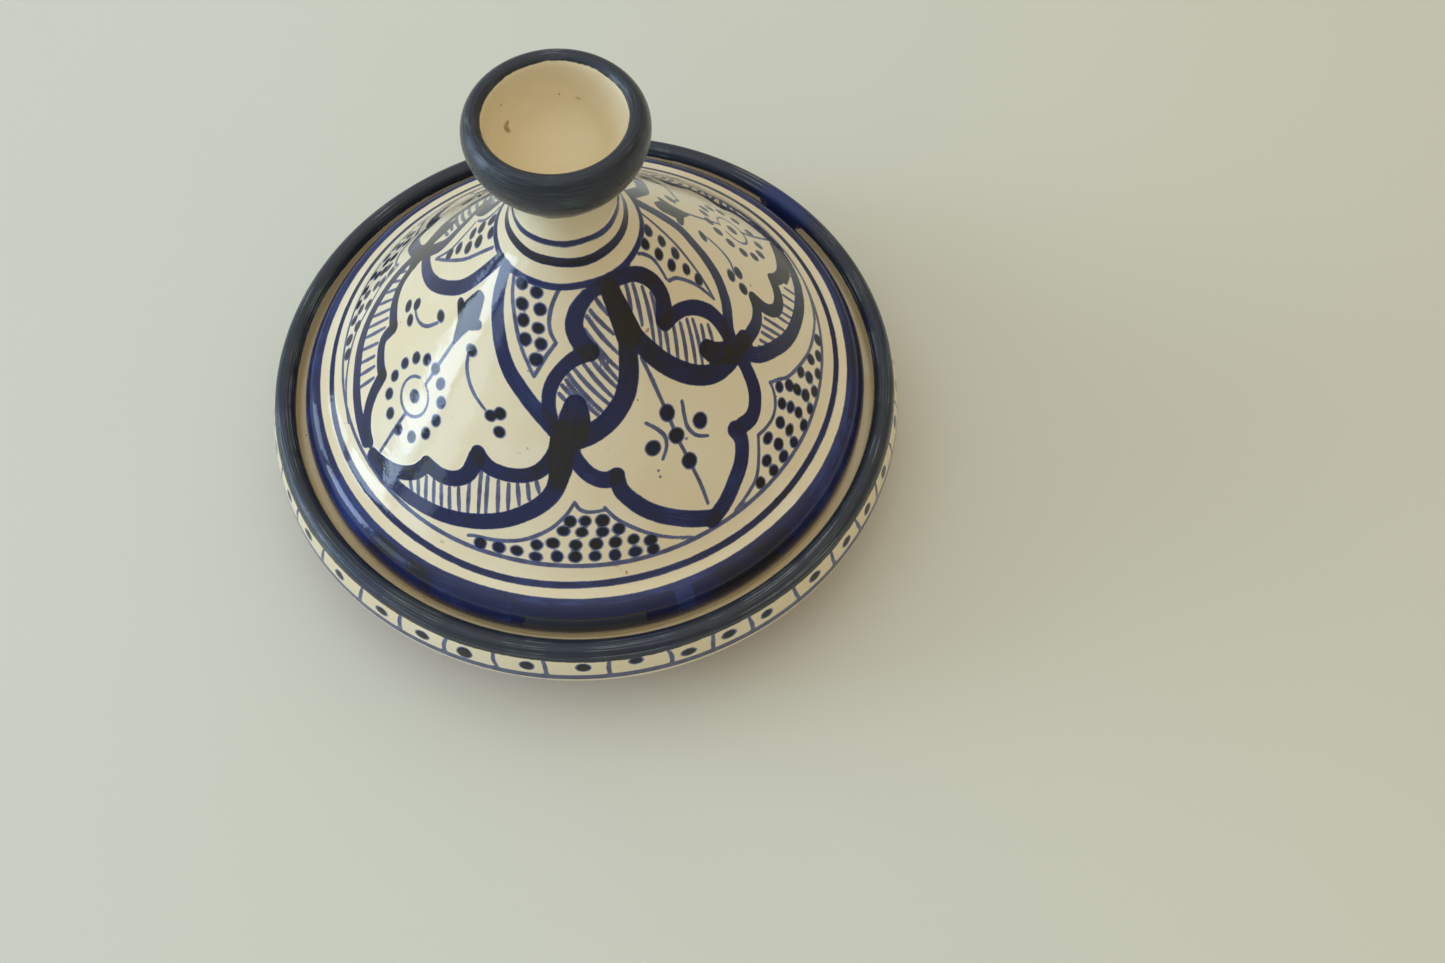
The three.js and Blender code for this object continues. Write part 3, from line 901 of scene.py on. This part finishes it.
CONE_STEP = 1.0  # row height on the painted cone
KNOB_STEP = 1.5  # on the knob's painted lip and bowl
PLAIN_STEP = 2.6  # and on the rest
CONE_INNER = 27.0  # the painted cone and its collar are outside this radius
OUTSIDE_DEPTH = 3.0  # rows this far inside the cone's face are still fine
KNOB_MARGIN = 3.0  # fine rows go this far past the knob's paint
KNOB_PAINT_INNER = 26.2  # radius where the knob's paint stops inside the cup
LIP_PAINT_DEPTH = 2.0  # and how far under the lip that is
KNOB_PAINT_LOWER = 22.4  # radius where it stops under the knob
NECK_PAINT_DEPTH = 31.0  # and how far under the lip that is
CUP_POOL_AND_BOUNCE = (-98.0, -84.0)  # the glaze inside the cup turns yellower between these: partly glaze pooled there, partly painted warm bounce light from the cup's own walls
CUP_POOL_AND_BOUNCE_DEPTH = 0.55
BLUE_SPREAD = 2.5  # how far the blue edge of the knob's paint reaches
BRIM_INSET = 6.0  # the bare ring under the brim is this far in from its edge
BRIM_HALF = 4.0  # and this wide to either side
HAND_LID = (0.7, 0.12)  # phase and size of the waves in the lid's thrown wall
SECOND_HALF_LOOSE = 0.55  # how far the second half turn strays from the first
# brown specks low in the cup: (degrees, radius, depth under the lip, half width, half height)
CUP_STAINS = [(156, 21.5, 19.0, 1.2, 2.0), (151, 21.8, 17.5, 1.5, 0.9), (75, 22.5, 16.0, 1.0, 0.4)]


def lid_spacing(point):
    """Height of the lid's rows at a point of its section: fine where it is painted."""
    radius, height = point
    on_cone = radius > CONE_INNER and height > lid_brim + 0.5 and height < lid_collar + 1
    outer = radius > cone_radius_at(height) - OUTSIDE_DEPTH
    if on_cone and outer:
        return CONE_STEP
    knob_foot = lid_points[:, 1].max() - NECK_PAINT_DEPTH - KNOB_MARGIN
    on_knob = radius > KNOB_PAINT_LOWER - KNOB_MARGIN and height > knob_foot
    return KNOB_STEP if on_knob else PLAIN_STEP


lid_points = outline_of("lid")
lid_brim = lid_points[:, 1].min()
lid_sides = np.linalg.norm(np.diff(lid_points, axis=0), axis=1)
lid_edge = int(np.argmax(lid_points[:, 0]))
cone_side = lid_edge + int(np.argmax(lid_sides[lid_edge:]))
cone_foot, cone_top = lid_points[cone_side], lid_points[cone_side + 1]
lid_collar = cone_top[1]


def cone_radius_at(height):
    """Radius of the lid's outside at a height between its edge and the collar."""
    t = (height - cone_foot[1]) / (cone_top[1] - cone_foot[1])
    return float(cone_foot[0] + np.clip(t, 0, 1) * (cone_top[0] - cone_foot[0]))


def make_lid():
    surface = Turned("lid", lid_spacing)
    collar_run = surface.run_at(*cone_top)
    edge_run = surface.run_at(*lid_points[lid_edge])
    down = collar_run - surface.run
    outside = surface.run >= edge_run - 2.0
    painting = Painting(surface.angle, surface.radius, down, outside)
    painting.down_of = (collar_run - surface.runs)[::-1]
    painting.radius_of = surface.rows[::-1, 0]
    layers = painting.layers

    paint_half(painting, 0.0, 0.0, BORDER_STROKES, BORDER_HATCH)
    paint_half(painting, 180.0, SECOND_HALF_LOOSE, BORDER_STROKES_AGAIN, BORDER_HATCH_AGAIN)
    for top, bottom, load in NECK_RINGS + [COLLAR_LINE, THIN_RING, WIDE_BAND]:
        painting.ring("heavy", top, bottom, load)
    for (start, end), (top, bottom), load in LAPS:
        middle = (top + bottom) / 2
        sweep = [(start, middle), ((start + end) / 2, middle + 0.2), (end, middle - 0.1)]
        painting.brush("heavy", sweep, (bottom - top, bottom - top), load)
    painting.ring("fine", *FOOT_LINE)
    for angle, radius, depth, wide, tall in CUP_STAINS:
        stain_run = surface.run_at(radius, surface.rows[:, 1].max() - depth)
        painting.dot(angle, collar_run - stain_run, wide, tall, "stain")
    worn_outer = knob_paint(surface, down)
    layers["worn"] = worn_outer
    near_neck = surface.radius < KNOB_PAINT_LOWER + KNOB_MARGIN
    layers["blue"] = np.exp(-(worn_outer / BLUE_SPREAD) ** 2) * near_neck
    # painted shade, brownest just under the wide band, on the outside of the lid only
    layers["edge_shade"] = np.interp(down, EDGE_SHADE_SPAN, (0.0, EDGE_SHADE_DEPTH, 0.0)) * outside
    # pooled glaze and painted warm bounce light, deep in the knob's cup only
    layers["pool_and_bounce"] = np.interp(down, CUP_POOL_AND_BOUNCE, (CUP_POOL_AND_BOUNCE_DEPTH, 0.0))
    brim_middle = surface.run_at(lid_points[lid_edge][0] - BRIM_INSET, lid_brim)
    layers["clay"] = np.abs(surface.run - brim_middle) - BRIM_HALF
    layers["down"] = down

    piece = surface.make("lid_glazed", thrown_by_hand(surface, *HAND_LID), layers)
    piece.data.materials.append(glaze_material("painted_lid"))
    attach(piece, "lid")
    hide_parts("lid")


def knob_paint(surface, down):
    """Distance to the dark paint over the knob's lip and bowl, with its ragged lower edge."""
    knob_top = surface.rows[:, 1].max()
    lower = surface.run_at(KNOB_PAINT_LOWER, knob_top - NECK_PAINT_DEPTH)
    inner = surface.run_at(KNOB_PAINT_INNER, knob_top - LIP_PAINT_DEPTH)
    turn = np.radians(surface.angle)
    ragged = 0.9 * np.sin(4 * turn) + 0.6 * np.sin(9 * turn + 1) + 0.4 * np.sin(17 * turn + 2)
    below = lower + ragged - surface.run
    above = surface.run - inner - 0.25 * np.sin(3 * turn)
    return np.clip(np.maximum(below, above), -FAR, FAR)


# ---------------- dish

FRIEZE_DIVIDERS = [-149, -139.5, -129, -120, -111, -102, -93.5, -82.5, -72.3, -64.5, -57.2, -47.5,
                   -38, -30, -22.3]
FRIEZE_PACE = 9.2  # degrees from one divider to the next, where they aren't in view
DIVIDER_MIDDLE = 7.2
DIVIDER_WIDTHS = (1.7, 2.3, 2.1)
FRIEZE_DOT_HALF = 3.3
# (degrees, millimetres under the rim's paint line, half height)
FRIEZE_DOTS = [(-124, 7.5, 2.4), (-115.5, 7.5, 2.6), (-107.5, 8, 3.6), (-96.5, 7, 2.8), (-87, 6.3, 2.6),
               (-78, 4.9, 2.2), (-69, 7.5, 2.4), (-61.5, 6.5, 2.4), (-54, 6.6, 2.4), (-43, 6.8, 2.4),
               (-34, 7.2, 2.4), (-26.5, 7.2, 2.5), (-134.5, 7.4, 2.5), (-144.5, 7.2, 2.4)]
RIM_LINE = 55.0  # height that the lines below are measured down from
FRIEZE_TOP = 2.7
BLUE_LINE = (11.5, 15.1)
GREY_LINE = (16.3, 17.9)
GLAZE_END = 22.0  # from here down the outside is bare clay
GREY_LOAD = 0.25
RIM_PAINT_INNER = 4.7  # the rim's paint stops this far inside its crest
DRIP_ANGLE = 47.5  # where rim paint ran across the channel
DRIP_PAST = (-3, 0, 5, 10, 15)  # how far past the paint's edge, and half its width there
DRIP_HALF_WIDTH = (15, 14, 11, 9, 6)
DRIP_LENGTH = 13.0
DRIP_LEAN = 0.2
DRIP_LOAD = 0.10
DRIP_BLUE_TURN = 9.0  # degrees to either side over which the rim is bluer
FRIEZE_STEP = 1.3  # row height on the painted outside
BOWL_STEP = 4.0  # and near the axis
BOWL_MIDDLE = 60.0  # inside this radius
HAND_DISH = (2.1, 0.16)  # phase and size of the waves in the dish's thrown wall


def frieze_marks():
    """Dividers and dots right round: the ones in view as painted, the rest at the same pace."""
    gap = 360.0 + FRIEZE_DIVIDERS[0] - FRIEZE_DIVIDERS[-1]
    count = round(gap / FRIEZE_PACE)
    more = [FRIEZE_DIVIDERS[-1] + gap * i / count + rng.normal(0, 0.5) for i in range(1, count)]
    ends = [FRIEZE_DIVIDERS[-1]] + more + [FRIEZE_DIVIDERS[0] + 360.0]
    dots = [((a + b) / 2 + rng.normal(0, 0.4), rng.normal(7.0, 0.5), rng.uniform(2.2, 2.8))
            for a, b in zip(ends[:-1], ends[1:])]
    return FRIEZE_DIVIDERS + more, FRIEZE_DOTS + dots


def dish_spacing(point):
    """Height of the dish's rows at a point of its section: fine where it is painted."""
    radius, height = point
    on_frieze = radius > dish_rim_inner and height > RIM_LINE - GLAZE_END - 4
    if on_frieze:
        return FRIEZE_STEP
    return PLAIN_STEP if radius > BOWL_MIDDLE else BOWL_STEP


dish_points = outline_of("dish")
dish_crest = dish_points[np.argmax(dish_points[:, 1])]
dish_rim_inner = dish_crest[0] - 1.0


def make_dish():
    surface = Turned("dish", dish_spacing)
    crest_run = surface.run_at(*dish_crest)
    outside = surface.run < crest_run
    depth = np.where(outside, RIM_LINE - surface.height, -FAR)
    painting = Painting(surface.angle, surface.radius, depth, outside)
    layers = painting.layers
    dividers, dots = frieze_marks()
    for angle in dividers:
        lean = rng.normal(0, 0.18)
        bow = rng.normal(0, 0.20)
        top = (angle - lean, FRIEZE_TOP - 0.5)
        middle = (angle + bow, DIVIDER_MIDDLE)
        bottom = (angle + lean, BLUE_LINE[0] + 0.6)
        painting.brush("fine", [top, middle, bottom], DIVIDER_WIDTHS)
    for angle, down, tall in dots:
        painting.dot(angle, down, FRIEZE_DOT_HALF * rng.uniform(0.9, 1.15), tall)
    painting.ring("fine", *BLUE_LINE)
    painting.ring("heavy", *GREY_LINE, GREY_LOAD)

    inner_run = surface.run_at(dish_crest[0] - RIM_PAINT_INNER, dish_crest[1] - RIM_PAINT_INNER)
    turn = np.radians(surface.angle)
    uneven = 0.3 * np.sin(5 * turn) + 0.25 * np.sin(11 * turn + 1)
    frieze_run = surface.run_at(surface.rows[:, 0].max() - 3.0, RIM_LINE - FRIEZE_TOP)
    below = frieze_run - surface.run + uneven
    above = surface.run - inner_run + uneven
    layers["worn"] = np.clip(np.maximum(below, above), -FAR, FAR)
    paint_drip(painting, surface, inner_run)
    glaze_end = RIM_LINE - GLAZE_END + 1.4 * np.sin(2 * turn + 1) + 0.8 * np.sin(7 * turn)
    layers["clay"] = np.where(outside, np.clip(surface.height - glaze_end, -FAR, FAR), FAR)
    layers["down"] = surface.run

    piece = surface.make("dish_glazed", thrown_by_hand(surface, *HAND_DISH), layers)
    piece.data.materials.append(glaze_material("painted_dish"))
    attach(piece, "dish")
    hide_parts("dish")


def paint_drip(painting, surface, inner_run):
    """Cobalt from the rim that ran down its inner side and across the channel."""
    turn = (surface.angle - DRIP_ANGLE + 180) % 360 - 180
    across = np.radians(turn) * surface.radius
    past = surface.run - inner_run
    width = np.interp(past, DRIP_PAST, DRIP_HALF_WIDTH)
    signed = np.maximum(np.abs(across - DRIP_LEAN * past) - width, past - DRIP_LENGTH)
    run_off = np.where(past > DRIP_PAST[0], signed, FAR)
    painting.lay("heavy", slice(None), run_off, DRIP_LOAD, across, painting.layers["along"])
    painting.layers["blue"] = np.exp(-(turn / DRIP_BLUE_TURN) ** 2)


# ---------------- scene

bpy.context.scene.view_settings.view_transform = "Standard"
make_camera()
make_lights()
make_world()
make_floor()
make_lid()
make_dish()
